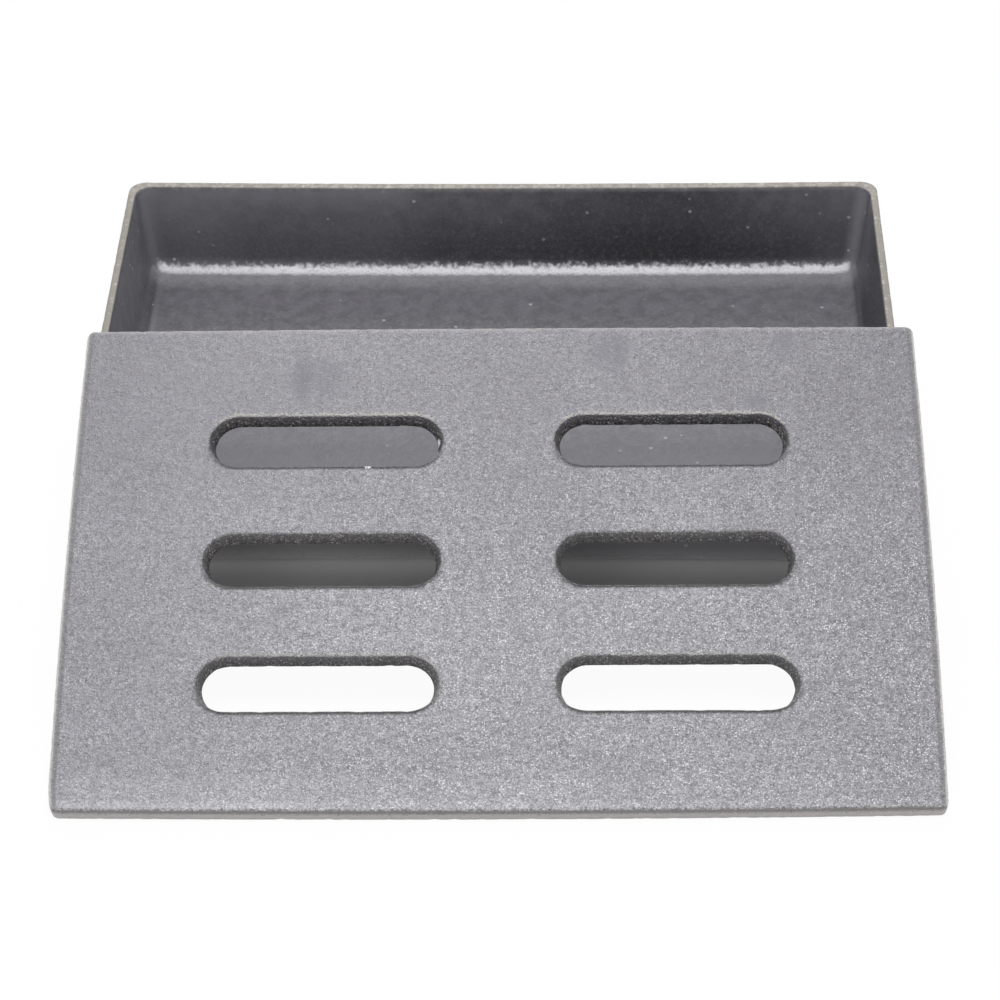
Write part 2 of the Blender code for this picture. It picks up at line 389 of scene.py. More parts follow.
class Skin:
    """The points and faces of one casting, with the painted weights of each point."""

    def __init__(self, *weights):
        self.points = []
        self.faces = []
        self.weights = {name: [] for name in weights}

    def add(self, places, height, **weights):
        """Add points at one height, each weight one number or one for each. Returns their numbers."""
        first = len(self.points)
        self.points += [(float(x), float(y), height) for x, y in places]
        for name, values in self.weights.items():
            values += np.broadcast_to(weights.get(name, 0), len(places)).tolist()
        return list(range(first, len(self.points)))

    def join(self, lower, upper):
        """Skin between two equal rings."""
        for i in range(len(lower)):
            j = (i + 1) % len(lower)
            self.faces.append((lower[i], lower[j], upper[j], upper[i]))

    def fill(self, loops, spacing, upward):
        """Cover the flat space inside the first loop and outside the others with even triangles."""
        height = self.points[loops[0][0]][2]
        rims = [np.array([self.points[i][:2] for i in loop]) for loop in loops]
        border = np.concatenate(rims)
        tree = kdtree.KDTree(len(border))
        for i, place in enumerate(border):
            tree.insert((*place, 0), i)
        tree.balance()
        grid = even_grid(border.min(0), border.max(0), spacing)
        grid = grid[inside(grid, rims)]
        apart = np.array([tree.find((*place, 0))[2] for place in grid])
        grid = grid[apart > spacing * GRID_MARGIN_SHARE]
        numbers = [i for loop in loops for i in loop] + self.add(grid, height)
        edges = []
        first = 0
        for loop in loops:
            edges += [(first + i, first + (i + 1) % len(loop)) for i in range(len(loop))]
            first += len(loop)
        places = [Vector(place) for place in np.concatenate((border, grid))]
        made = geometry.delaunay_2d_cdt(places, edges, [], 0, 0)
        spots, triangles, origins = made[0], made[2], made[3]
        corners = np.array([[spots[i] for i in triangle] for triangle in triangles])
        kept = inside(corners.mean(1), rims)
        for triangle, keep in zip(triangles, kept):
            if keep:
                face = [numbers[origins[i][0]] for i in triangle]
                self.faces.append(face if upward else face[::-1])


def even_grid(low, high, spacing):
    """Points of a triangular grid over a rectangle."""
    row_gap = spacing * math.sqrt(3) / 2
    rows = np.arange(low[1], high[1], row_gap)
    columns = np.arange(low[0], high[0], spacing)
    shifts = np.where(np.arange(len(rows)) % 2, spacing / 2, 0)
    x = columns[None, :] + shifts[:, None]
    y = np.repeat(rows[:, None], len(columns), axis=1)
    return np.column_stack((x.ravel(), y.ravel()))


def inside(places, rims):
    """Which places lie inside an odd number of these closed outlines."""
    found = np.zeros(len(places), bool)
    x, y = places[:, 0], places[:, 1]
    for rim in rims:
        for (ax, ay), (bx, by) in zip(rim, np.roll(rim, -1, axis=0)):
            if ay != by:
                crosses = ((ay > y) != (by > y)) & (x < (bx - ax) * (y - ay) / (by - ay) + ax)
                found ^= crosses
    return found


def cast_skin(skin, name):
    """Make the mesh object and press the sand's waves, lumps and chipped edges into it."""
    bm = bmesh.new()
    for point in skin.points:
        bm.verts.new(point)
    bm.verts.ensure_lookup_table()
    for face in skin.faces:
        bm.faces.new([bm.verts[i] for i in face])
    bmesh.ops.recalc_face_normals(bm, faces=bm.faces)
    bm.normal_update()
    edge_weights = skin.weights["edge"]
    places = []
    for vert, edge in zip(bm.verts, edge_weights):
        wave = noise.noise(vert.co / WAVE_LENGTH)
        lump = noise.noise(vert.co / LUMP_LENGTH)
        chip = max(0, noise.noise(vert.co / CHIP_LENGTH + Vector(CHIP_SHIFT)))
        depth = WAVE_DEPTH * (1 + wave) / 2 + LUMP_DEPTH * (1 + lump) / 2 + edge * CHIP_DEPTH * chip
        places.append(vert.co - vert.normal * depth)
    for vert, place in zip(bm.verts, places):
        vert.co = place
    mesh = bpy.data.meshes.new(name)
    bm.to_mesh(mesh)
    bm.free()
    mesh.shade_smooth()
    for weight, values in skin.weights.items():
        layer = mesh.attributes.new(weight, "FLOAT", "POINT")
        layer.data.foreach_set("value", values)
    obj = bpy.data.objects.new(name, mesh)
    bpy.context.scene.collection.objects.link(obj)
    return obj


def wall_inset(height):
    """How far the drafted outer wall has moved in from the rim line at this height."""
    return math.tan(WALL_DRAFT) * (TRAY_HEIGHT - height)


def drawn(run, **weights):
    """Section points with the weights that they carry."""
    return [(inset, height, weights) for inset, height in run]


def tray_profile():
    """The wall's section as outer and inner runs of (inset, height, weights)."""
    stretch = 1 / math.cos(WALL_DRAFT)
    wall_side = 180 + math.degrees(WALL_DRAFT)
    foot = (wall_inset(UNDERSIDE_ROUND) + UNDERSIDE_ROUND * stretch, UNDERSIDE_ROUND)
    under = arc(foot, UNDERSIDE_ROUND, 270, wall_side, FILLET_STEPS)
    rim_height = TRAY_HEIGHT - RIM_EDGE_ROUND
    outer = arc((RIM_EDGE_ROUND, rim_height), RIM_EDGE_ROUND, 180, 90, EDGE_STEPS)
    inner = arc((RIM_WIDTH - RIM_EDGE_ROUND, rim_height), RIM_EDGE_ROUND, 90, 0, EDGE_STEPS)
    fillet_height = FLOOR_THICKNESS + FLOOR_FILLET
    fillet_inset = RIM_WIDTH + wall_inset(fillet_height) + FLOOR_FILLET * stretch
    fillet = arc((fillet_inset, fillet_height), FLOOR_FILLET, wall_side, 270, FILLET_STEPS)
    outside = drawn(under, outside=1) + drawn(straight(under[-1], outer[0], WALL_SPACING), outside=1)
    outside += drawn(outer, worn=1, edge=RIM_CHIP_SHARE)
    inside_run = drawn(straight(outer[-1], inner[0], WALL_SPACING), worn=1)
    for i, point in enumerate(inner):
        worn = 1 - WORN_FALL_SHARE * i / EDGE_STEPS
        inside_run += drawn([point], worn=worn, edge=RIM_CHIP_SHARE)
    for point in straight(inner[-1], fillet[0], WALL_SPACING):
        depth_share = (inner[-1][1] - point[1]) / (inner[-1][1] - fillet[0][1])
        inside_run += drawn([point], hollow=1, wall=depth_share)
    for i, point in enumerate(fillet):
        inside_run += drawn([point], hollow=1 - i / FILLET_STEPS, wall=1 - i / FILLET_STEPS)
    return outside, inside_run


def side_gain(height):
    """How much further out the hollow's short sides stand than its long ones: all of it at the rim."""
    share = (height - FLOOR_THICKNESS) / (TRAY_HEIGHT - FLOOR_THICKNESS)
    return (RIM_WIDTH - SIDE_RIM_WIDTH) * share


def long_run_at(place):
    """How far in a place of the hollow lies from the rim line of the nearer long wall."""
    if place.z < FLOOR_THICKNESS / 2:
        return 0
    dip = LONG_WALL_DIP * (1 - (2 * place.x / TRAY_WIDTH) ** 2)
    return TRAY_DEPTH / 2 - dip - abs(place.y)


def wall_lead_at(place):
    """How much nearer a place lies to a long wall of the tray than to a short one."""
    return TRAY_WIDTH / 2 - abs(place.x) - TRAY_DEPTH / 2 + abs(place.y)


def make_tray():
    """The open tray, from the middle of its underside over the rim to the middle of its floor."""
    skin = Skin("worn", "edge", "outside", "hollow", "wall")
    size = (TRAY_WIDTH, TRAY_DEPTH)
    bows = (-LONG_WALL_DIP, 0, -LONG_WALL_DIP, 0)
    rings = []
    outside, inside_run = tray_profile()
    for inset, height, weights in outside:
        outline = plate_outline((inset, inset), size, TRAY_CORNER_RADIUS, bows)
        rings.append(skin.add(outline, float(height), **weights))
    for inset, height, weights in inside_run:
        insets = (inset - side_gain(height), inset)
        outline = plate_outline(insets, size, HOLLOW_CORNER_RADIUS, bows)
        rings.append(skin.add(outline, float(height), **weights))
    for lower, upper in zip(rings, rings[1:]):
        skin.join(lower, upper)
    skin.fill([rings[0]], HIDDEN_SPACING, upward=False)
    skin.fill([rings[-1]], WALL_SPACING, upward=True)
    tray = cast_skin(skin, "tray_casting")
    paint(tray.data, "long_run", long_run_at)
    paint(tray.data, "wall_lead", wall_lead_at)
    return tray


def lid_edge_profile():
    """The lid's edge as (inset, height, weights), from the underside to the top."""
    low = arc((LID_EDGE_ROUND, LID_EDGE_ROUND), LID_EDGE_ROUND, 270, 180, EDGE_STEPS)
    top = LID_THICKNESS - LID_EDGE_ROUND
    high = arc((LID_EDGE_ROUND, top), LID_EDGE_ROUND, 180, 90, EDGE_STEPS)
    run = drawn(low, worn=1, edge=1) + drawn(straight(low[-1], high[0], LID_EDGE_ROUND), worn=1)
    for i, point in enumerate(high):
        run += drawn([point], worn=1 - WORN_FALL_SHARE * i / EDGE_STEPS, edge=1)
    return run


def slot_profile(draft):
    """A slot's wall as (growth, height, weights), from the underside to the top."""
    narrowing = LID_THICKNESS * math.tan(draft)
    low_centre = (SLOT_EDGE_ROUND - narrowing, SLOT_EDGE_ROUND)
    low = arc(low_centre, SLOT_EDGE_ROUND, 270, 180, EDGE_STEPS)
    high_centre = (SLOT_EDGE_ROUND, LID_THICKNESS - SLOT_EDGE_ROUND)
    high = arc(high_centre, SLOT_EDGE_ROUND, 180, 90, EDGE_STEPS)
    shares = np.linspace(0, 1, SLOT_WALL_STEPS + 1)[1:-1, None]
    # The slot weight lays painted shade on the wall, most at its foot; at the mouth the far brows take a
    # painted highlight and the near lips painted shade
    wall = []
    for share, point in zip(shares[:, 0], low[-1] + shares * (high[0] - low[-1])):
        wall += drawn([point], slot=1 - (1 - SLOT_TOP_SHARE) * share)
    mouth = []
    for i, point in enumerate(high):
        share = i / EDGE_STEPS
        slot = SLOT_TOP_SHARE + (SLOT_MOUTH_SHARE - SLOT_TOP_SHARE) * share
        brow = math.sin(BROW_TURN_SHARE * math.pi * share)
        mouth += drawn([point], edge=1, slot=slot, brow=brow, lip=share)
    return drawn(low, edge=1, slot=1) + wall + mouth


def slot_places():
    """The middle of each slot in the lid's own frame, with how strong the painted highlight on its far
    edge is.
    """
    places = []
    for row in range(SLOT_ROWS):
        for column in range(SLOT_COLUMNS):
            x = (column - (SLOT_COLUMNS - 1) / 2) * SLOT_COLUMN_PITCH
            y = LID_DEPTH / 2 + (row - (SLOT_ROWS - 1) / 2) * SLOT_ROW_PITCH
            places.append(((x, y), BROW_HIGHLIGHT_SHARES[row]))
    return places


def lean_matrix():
    """Where the lid lies: front edge on the table, underside on the tray's front rim."""
    rise = TRAY_HEIGHT - RIM_EDGE_ROUND - LID_EDGE_ROUND
    between = LID_EDGE_ROUND + RIM_EDGE_ROUND + LEAN_CLEARANCE
    tilt = math.atan2(rise, LEAN_REACH) + math.asin(between / math.hypot(rise, LEAN_REACH))
    touch_x = TRAY_WIDTH / 2 - TRAY_CORNER_RADIUS
    touch_y = -TRAY_DEPTH / 2 + RIM_EDGE_ROUND
    reach = (LEAN_REACH + (touch_x - LID_SHIFT) * math.sin(LID_TURN)) / math.cos(LID_TURN)
    edge_y = LID_EDGE_ROUND - LID_FRONT_BOW
    back = edge_y * math.cos(tilt) - LID_EDGE_ROUND * math.sin(tilt)
    drop = edge_y * math.sin(tilt) + LID_EDGE_ROUND * math.cos(tilt)
    x = LID_SHIFT + back * math.sin(LID_TURN)
    y = touch_y - reach - back * math.cos(LID_TURN)
    place = Vector((x, y, LID_EDGE_ROUND - drop))
    return Matrix.Translation(place) @ Euler((tilt, 0, LID_TURN), "XYZ").to_matrix().to_4x4()


def make_lid():
    """The flat lid with its smoke slots, leaning on the tray."""
    skin = Skin("worn", "edge", "slot", "brow", "lip")
    middle = np.array((0, LID_DEPTH / 2))
    bows = (LID_BACK_BOW, LID_SIDE_BOW, LID_FRONT_BOW, LID_SIDE_BOW)
    rim = []
    for inset, height, weights in lid_edge_profile():
        radius = LID_CORNER_RADIUS - inset
        outline = plate_outline((inset, inset), (LID_WIDTH, LID_DEPTH), radius, bows) + middle
        rim.append(skin.add(outline, float(height), **weights))
    for lower, upper in zip(rim, rim[1:]):
        skin.join(lower, upper)
    under, top = [rim[0]], [rim[-1]]
    for slot_middle, highlight_share in slot_places():
        rings = []
        for side, end in zip(slot_profile(SLOT_DRAFT), slot_profile(SLOT_END_DRAFT)):
            growth, height, weights = side
            outline = stadium_outline(slot_middle, growth, end[0])
            far = np.clip((outline[:, 1] - slot_middle[1]) / (SLOT_WIDTH / 2), -1, 1)
            # The far side of each mouth takes a painted highlight, the near side painted shade
            brow = highlight_share * weights.get("brow", 0) * np.maximum(far, 0)
            lip = weights.get("lip", 0) * np.maximum(-far, 0)
            rings.append(skin.add(outline, float(height), **{**weights, "brow": brow, "lip": lip}))
        for lower, upper in zip(rings, rings[1:]):
            skin.join(upper, lower)
        under.append(rings[0])
        top.append(rings[-1])
    skin.fill(under, HIDDEN_SPACING, upward=False)
    skin.fill(top, TOP_SPACING, upward=True)
    lid = cast_skin(skin, "lid_casting")
    paint(lid.data, "front_run", front_run_at)
    paint(lid.data, "side_run", side_run_at)
    paint(lid.data, "smudge", smudge_at)
    wear_corner(lid.data)
    lid.data.transform(lean_matrix())
    return lid


def wear_corner(mesh):
    """Draw the lid's worn front left corner in a little, most at its tip."""
    for vert in mesh.vertices:
        along = max(0, 1 - vert.co.y / WORN_CORNER_REACH)
        across = max(0, 1 - (vert.co.x + LID_WIDTH / 2) / WORN_CORNER_REACH)
        vert.co.x += WORN_CORNER_DEPTH * along ** 2 * across


def front_run_at(place):
    """How far a place lies behind the lid's bowed front edge, counting down its face as negative."""
    bulge = LID_FRONT_BOW * (1 - (2 * place.x / LID_WIDTH) ** 2)
    return place.y + bulge - (LID_THICKNESS - place.z)


def side_run_at(place):
    """How far a place lies inside the lid's nearer bowed short side."""
    bulge = LID_SIDE_BOW * (1 - (2 * place.y / LID_DEPTH - 1) ** 2)
    return LID_WIDTH / 2 + bulge - abs(place.x)


def smudge_at(place):
    """How far a place on the lid lies inside a rubbed spot, from 0 to 1."""
    deepest = 0
    for middle, half, strength in SMUDGES:
        apart = math.hypot((place.x - middle[0]) / half[0], (place.y - middle[1]) / half[1])
        deepest = max(deepest, strength * max(0, 1 - apart) ** 0.5)
    return deepest


def paint(mesh, name, weight_at):
    """Store a weight at each point of the mesh, from the point's place."""
    layer = mesh.attributes.new(name, "FLOAT", "POINT")
    layer.data.foreach_set("value", [weight_at(vert.co) for vert in mesh.vertices])


def add_node(tree, kind, inputs=None, **settings):
    """A shader node with its settings made and its sockets set or joined."""
    made = tree.nodes.new(kind)
    for name, value in settings.items():
        setattr(made, name, value)
    for socket, value in (inputs or {}).items():
        if isinstance(value, bpy.types.NodeSocket):
            tree.links.new(value, made.inputs[socket])
        else:
            made.inputs[socket].default_value = value
    return made


def object_place(tree):
    """The shaded point's place."""
    return add_node(tree, "ShaderNodeTexCoord").outputs["Object"]


def object_axes(tree):
    """The X, Y and Z of the shaded point's place."""
    return add_node(tree, "ShaderNodeSeparateXYZ", {"Vector": object_place(tree)}).outputs


def painted(tree, name):
    """A weight that the mesh carries."""
    return add_node(tree, "ShaderNodeAttribute", attribute_name=name).outputs["Fac"]


def combined(tree, operation, first, second):
    """One arithmetic step on two values."""
    return add_node(tree, "ShaderNodeMath", {0: first, 1: second}, operation=operation).outputs[0]


def times(tree, first, second):
    """The product of two values."""
    return combined(tree, "MULTIPLY", first, second)


def plus(tree, first, second):
    """The sum of two values."""
    return combined(tree, "ADD", first, second)


def minus(tree, first, second):
    """The first value less the second."""
    return combined(tree, "SUBTRACT", first, second)


def larger(tree, first, second):
    """The larger of two values."""
    return combined(tree, "MAXIMUM", first, second)


def stepped(tree, value, low, high, bottom=0, top=1):
    """Value carried smoothly from bottom to top as it passes from low to high."""
    settings = {"Value": value, "From Min": low, "From Max": high, "To Min": bottom, "To Max": top}
    made = add_node(tree, "ShaderNodeMapRange", settings, interpolation_type="SMOOTHSTEP")
    return made.outputs["Result"]


def within(tree, value, span):
    """1 between the inner two of four values, falling to 0 at the outer two."""
    return times(tree, stepped(tree, value, *span[:2]), stepped(tree, value, *span[2:], 1, 0))


def mixed(tree, share, first, second, how="MIX"):
    """Two colours mixed by a share from 0 to 1. ADD lifts and MULTIPLY tints the first's grain."""
    colours = [c if isinstance(c, bpy.types.NodeSocket) else (*c, 1) for c in (first, second)]
    inputs = {"Factor": share, 6: colours[0], 7: colours[1]}
    made = add_node(tree, "ShaderNodeMix", inputs, data_type="RGBA", blend_type=how)
    return made.outputs[2]


def noise_layer(tree, length, detail):
    """Soft noise from 0 to 1 with lumps of about this length."""
    settings = {"Vector": object_place(tree), "Scale": 1 / length, "Detail": detail}
    return add_node(tree, "ShaderNodeTexNoise", settings).outputs["Fac"]


def dot_layer(tree, length, full_share, kept_share):
    """Round dots from 0 to 1, one in each cell of this length, in a share of the cells."""
    settings = {"Vector": object_place(tree), "Scale": 1 / length}
    cells = add_node(tree, "ShaderNodeTexVoronoi", settings)
    dot = stepped(tree, cells.outputs["Distance"], full_share, 2 * full_share, 1, 0)
    luck = add_node(tree, "ShaderNodeSeparateColor", {"Color": cells.outputs["Color"]})
    return times(tree, dot, stepped(tree, luck.outputs["Red"], 1 - kept_share, 1))


def grain_layers(tree):
    """The cast grain's shared layers, by name."""
    return {
        "fine": noise_layer(tree, FINE_LENGTH, detail=1),
        "grit": noise_layer(tree, GRIT_LENGTH, detail=1),
        "pebble": noise_layer(tree, PEBBLE_LENGTH, detail=1),
        "clump": noise_layer(tree, CLUMP_LENGTH, detail=1),
        "cloud": noise_layer(tree, CLOUD_LENGTH, detail=2),
    }


def blend(tree, layers, shares):
    """The grain's layers added up by their shares."""
    total = 0
    for name, share in shares.items():
        total = plus(tree, total, times(tree, layers[name], share))
    return total


def cast_material(name):
    """A new material. Returns it with its tree and its Principled shader."""
    material = bpy.data.materials.new(name)
    material.use_nodes = True
    tree = material.node_tree
    return material, tree, tree.nodes["Principled BSDF"]


def finish_cast(tree, shader, colour, roughness, height, depth, depth_share):
    """Join the colour, and let the grain set the roughness and the bumps."""
    shader.inputs["Metallic"].default_value = IRON_METALLIC
    tree.links.new(colour, shader.inputs["Base Color"])
    tree.links.new(roughness, shader.inputs["Roughness"])
    inputs = {"Strength": depth_share, "Distance": depth, "Height": height}
    bump = add_node(tree, "ShaderNodeBump", inputs)
    tree.links.new(bump.outputs["Normal"], shader.inputs["Normal"])


def lid_iron():
    """Bare grey cast iron with a fine grain and painted glint highlights, rubbed beige along the lid's
    edges, with painted light and shade on its top and in its slots.
    """
    material, tree, shader = cast_material("lid_iron_grain")
    layers = grain_layers(tree)
    ragged = minus(tree, layers["grit"], NOISE_MIDDLE)
    ragged_run = plus(tree, painted(tree, "front_run"), times(tree, ragged, FRONT_RAGGED))
    crisp = lid_crispness(tree)
    colour = lid_face(tree, layers, crisp)
    colour = lid_patches(tree, colour, ragged_run)
    colour = lid_edges(tree, layers, colour)
    colour = lid_slots(tree, layers, colour, ragged)
    # A ragged line of painted shade along the rounding of the lid's front edge
    line = times(tree, within(tree, ragged_run, FRONT_SHADE_LINE_SPAN), FRONT_SHADE_LINE_SHARE)
    colour = mixed(tree, line, colour, PIT_AND_SHADE_IRON)
    for chip, reach in WHITE_SPOTS:
        colour = mixed(tree, white_spot_share(tree, chip, reach, ragged), colour, WHITE_SPOT_IRON)
    calm = stepped(tree, crisp, *CALM_STEP)
    calm = minus(tree, calm, times(tree, painted(tree, "smudge"), SMUDGE_CALM_SHARE))
    calm = minus(tree, calm, times(tree, painted(tree, "worn"), WORN_CALM_SHARE))
    roughness = stepped(tree, layers["grit"], *LID_ROUGH_STEP)
    height = blend(tree, layers, LID_BUMP_SHARES)
    finish_cast(tree, shader, colour, roughness, height, LID_GRAIN_DEPTH, calm)
    return material


def lid_crispness(tree):
    """How crisp the lid's grain is: less towards its back, and less towards its left side."""
    back = stepped(tree, painted(tree, "front_run"), *CRISP_RUN_STEP)
    return times(tree, back, stepped(tree, object_axes(tree)["X"], *CRISP_ACROSS_STEP))


def lid_face(tree, layers, crisp):
    """The lid's grainy iron, with painted shade towards its back and its sides, and painted glint
    highlights.
    """
    grain = times(tree, minus(tree, blend(tree, layers, LID_TONE_SHARES), NOISE_MIDDLE), crisp)
    colour = mixed(tree, stepped(tree, grain, *GRAIN_STEP), LID_DARK, LID_LIGHT)
    colour = mixed(tree, stepped(tree, layers["cloud"], *CLOUD_STEP), colour, LID_DARK)
    back = stepped(tree, painted(tree, "front_run"), *BACK_RUN_STEP)
    back = times(tree, back, stepped(tree, object_axes(tree)["X"], *BACK_ACROSS_STEP))
    colour = mixed(tree, back, colour, BACK_SHADE_TINT, "MULTIPLY")
    sides = stepped(tree, painted(tree, "side_run"), *SIDE_TONE_STEP)
    colour = mixed(tree, sides, colour, SIDE_SHADE_TINT, "MULTIPLY")
    painted_glints = times(tree, dot_layer(tree, SPECK_LENGTH, *SPECK_DOTS), times(tree, crisp, crisp))
    painted_glints = times(tree, painted_glints, stepped(tree, layers["clump"], *GLINT_STEP))
    return mixed(tree, painted_glints, colour, SPECK_AND_PAINTED_GLINT_IRON)


def lid_patches(tree, colour, ragged_run):
    """The lid's painted highlight band behind its front edge, its middle lifted with painted light, and
    its rubbed spots.
    """
    run = painted(tree, "front_run")
    across = object_axes(tree)["X"]
    fade = times(tree, within(tree, run, FRONT_FADE_SPAN), FRONT_FADE_SHARE)
    band = larger(tree, within(tree, ragged_run, FRONT_HIGHLIGHT_BAND_SPAN), fade)
    band = times(tree, band, stepped(tree, across, *FRONT_ACROSS_STEP))
    colour = mixed(tree, band, colour, FRONT_HIGHLIGHT_GAIN, "ADD")
    # Painted light lifting the middle of the lid's top
    middle = times(tree, within(tree, run, MIDDLE_RUN_SPAN), within(tree, across, MIDDLE_ACROSS_SPAN))
    colour = mixed(tree, middle, colour, MIDDLE_PAINTED_LIGHT_GAIN, "ADD")
    return mixed(tree, times(tree, painted(tree, "smudge"), SMUDGE_SHARE), colour, SMUDGE_IRON)


def lid_edges(tree, layers, colour):
    """The darker line inside the lid's short sides, and its rubbed edges."""
    side_run = painted(tree, "side_run")
    side_line = times(tree, within(tree, side_run, SIDE_LINE_SPAN), SIDE_LINE_SHARE)
    colour = mixed(tree, side_line, colour, LID_PIT)
    colour = mixed(tree, worn_share(tree, layers), colour, RUBBED_IRON)
    return mixed(tree, stepped(tree, side_run, *SIDE_BARE_STEP), colour, BROW_HIGHLIGHT_AND_PALE_EDGE_IRON)


def worn_share(tree, layers):
    """How far a casting's edges are rubbed, a little less in some clumps of the grain."""
    return times(tree, painted(tree, "worn"), stepped(tree, layers["clump"], *WORN_STEP))


def lid_slots(tree, layers, colour, ragged):
    """The slots' walls in painted shade with specks, painted highlights on their far edges, and painted
    shade on their near lips.
    """
    grain = mixed(tree, stepped(tree, layers["grit"], *SLOT_GRAIN_STEP), PIT_AND_SHADE_IRON, SLOT_SHADE_IRON)
    specks = times(tree, dot_layer(tree, GRIT_LENGTH, *SLOT_DOTS), SLOT_DOT_SHARE)
    grain = mixed(tree, specks, grain, RUBBED_IRON)
    slot = plus(tree, painted(tree, "slot"), times(tree, ragged, SLOT_RAGGED))
    colour = mixed(tree, stepped(tree, slot, *SLOT_EDGE_STEP), colour, grain)
    brow = plus(tree, painted(tree, "brow"), times(tree, ragged, BROW_RAGGED))
    colour = mixed(tree, stepped(tree, brow, *BROW_HIGHLIGHT_STEP), colour, BROW_HIGHLIGHT_AND_PALE_EDGE_IRON)
    return mixed(tree, times(tree, painted(tree, "lip"), LIP_SHARE), colour, PIT_AND_SHADE_IRON)


def white_spot_share(tree, chip, reach, ragged):
    """1 inside a white spot on the lid, 0 outside it."""
    inputs = {0: object_place(tree), 1: lean_matrix() @ Vector(chip)}
    apart = add_node(tree, "ShaderNodeVectorMath", inputs, operation="DISTANCE")
    apart = plus(tree, apart.outputs["Value"], times(tree, ragged, WHITE_SPOT_RAGGED * reach))
    low, high = [share * reach for share in WHITE_SPOT_EDGE_SHARES]
    return stepped(tree, apart, low, high, 1, 0)


def tray_iron():
    """Dark seasoned cast iron, with a rim rubbed to the metal, painted light and shade on its floor and
    walls, and a painted highlight on the fillet at the long walls' foot.
    """
    material, tree, shader = cast_material("tray_iron_grain")
    layers = grain_layers(tree)
    axes = object_axes(tree)
    eastern = stepped(tree, axes["X"], *EAST_STEP)
    hollow = painted(tree, "hollow")
    speckle = blend(tree, layers, SPECKLE_SHARES)
    colour = tray_floor(tree, layers, axes, hollow)
    colour = mixed(tree, painted(tree, "outside"), colour, tray_outside(tree, axes, eastern))
    colour = mixed(tree, wall_shade(tree, eastern, hollow), colour, WALL_SHADE_IRON)
    # Painted shade along the middle and right of the long walls
    long_side = stepped(tree, painted(tree, "wall_lead"), *LONG_SIDE_STEP)
    dark_run = times(tree, within(tree, axes["X"], DARK_RUN_SPAN), long_side)
    colour = mixed(tree, times(tree, dark_run, hollow), colour, DARK_RUN_SHADE_TINT, "MULTIPLY")
    colour = mixed(tree, wall_painted_light(tree, axes, eastern, hollow), colour, SPECKLE_AND_PAINTED_LIGHT_IRON)
    speckled = stepped(tree, speckle, *SPECKLE_STEP)
    speckled = times(tree, speckled, stepped(tree, hollow, *SPECKLE_HOLLOW_STEP))
    colour = mixed(tree, speckled, colour, SPECKLE_AND_PAINTED_LIGHT_IRON)
    dots = times(tree, dot_layer(tree, CLUMP_LENGTH, *TRAY_DOTS), TRAY_DOT_SHARE)
    colour = mixed(tree, dots, colour, SPECK_AND_PAINTED_GLINT_IRON)
    # A painted highlight on the fillet at the long walls' foot
    colour = mixed(tree, fillet_highlight_share(tree, layers, axes, hollow, speckle), colour, FILLET_HIGHLIGHT_IRON)
    colour = tray_rim(tree, layers, axes, colour)
    roughness = stepped(tree, layers["grit"], *TRAY_ROUGH_STEP)
    height = blend(tree, layers, TRAY_BUMP_SHARES)
    finish_cast(tree, shader, colour, roughness, height, TRAY_GRAIN_DEPTH, 1)
    return material


def tray_floor(tree, layers, axes, hollow):
    """The tray's iron, with painted light at the floor's front and painted shade just behind the lid's
    back edge.
    """
    colour = mixed(tree, stepped(tree, layers["clump"], *TRAY_GRAIN_STEP), TRAY_DARK, TRAY_LIGHT)
    colour = mixed(tree, stepped(tree, axes["Y"], *PAINTED_LIGHT_FLOOR_STEP), colour, SPECKLE_AND_PAINTED_LIGHT_IRON)
    dark = within(tree, axes["Y"], FLOOR_SHADE_SPAN)
    dark = times(tree, dark, stepped(tree, hollow, *FLOOR_ONLY_STEP))
    return mixed(tree, dark, colour, FLOOR_SHADE_TINT, "MULTIPLY")


def tray_outside(tree, axes, eastern):
    """The tray's outer walls, pale with painted light, more of it at the front's foot and heel, and
    darker with painted shade towards the right.
    """
    front = stepped(tree, axes["Y"], *FRONT_ONLY_STEP)
    foot = times(tree, front, stepped(tree, axes["Z"], *FOOT_STEP))
    heel = times(tree, front, stepped(tree, axes["Z"], *HEEL_STEP))
    colour = mixed(tree, heel, mixed(tree, foot, OUTSIDE_PAINTED_LIGHT_IRON, FOOT_PAINTED_LIGHT_IRON), HEEL_PAINTED_LIGHT_IRON)
    return mixed(tree, eastern, colour, OUTSIDE_SHADE_TINT, "MULTIPLY")


def wall_shade(tree, eastern, hollow):
    """How much painted shade darkens the hollow's walls, the long ones and the short ones with their
    feet.
    """
    lead = painted(tree, "wall_lead")
    deep = stepped(tree, painted(tree, "wall"), *LONG_DEEP_STEP)
    deep = times(tree, deep, stepped(tree, lead, *LONG_SIDE_STEP))
    short = stepped(tree, lead, *SHORT_SHADE_STEP)
    short = times(tree, short, stepped(tree, eastern, *SHORT_DEEP_STEP))
    deep = times(tree, hollow, larger(tree, deep, short))
    foot = minus(tree, hollow, stepped(tree, eastern, *SHORT_FOOT_START_STEP))
    foot = times(tree, stepped(tree, foot, *SHORT_FOOT_STEP), stepped(tree, lead, *SHORT_SIDE_STEP))
    foot = times(tree, foot, stepped(tree, hollow, *SHORT_FOOT_FADE_STEP))
    return larger(tree, deep, foot)


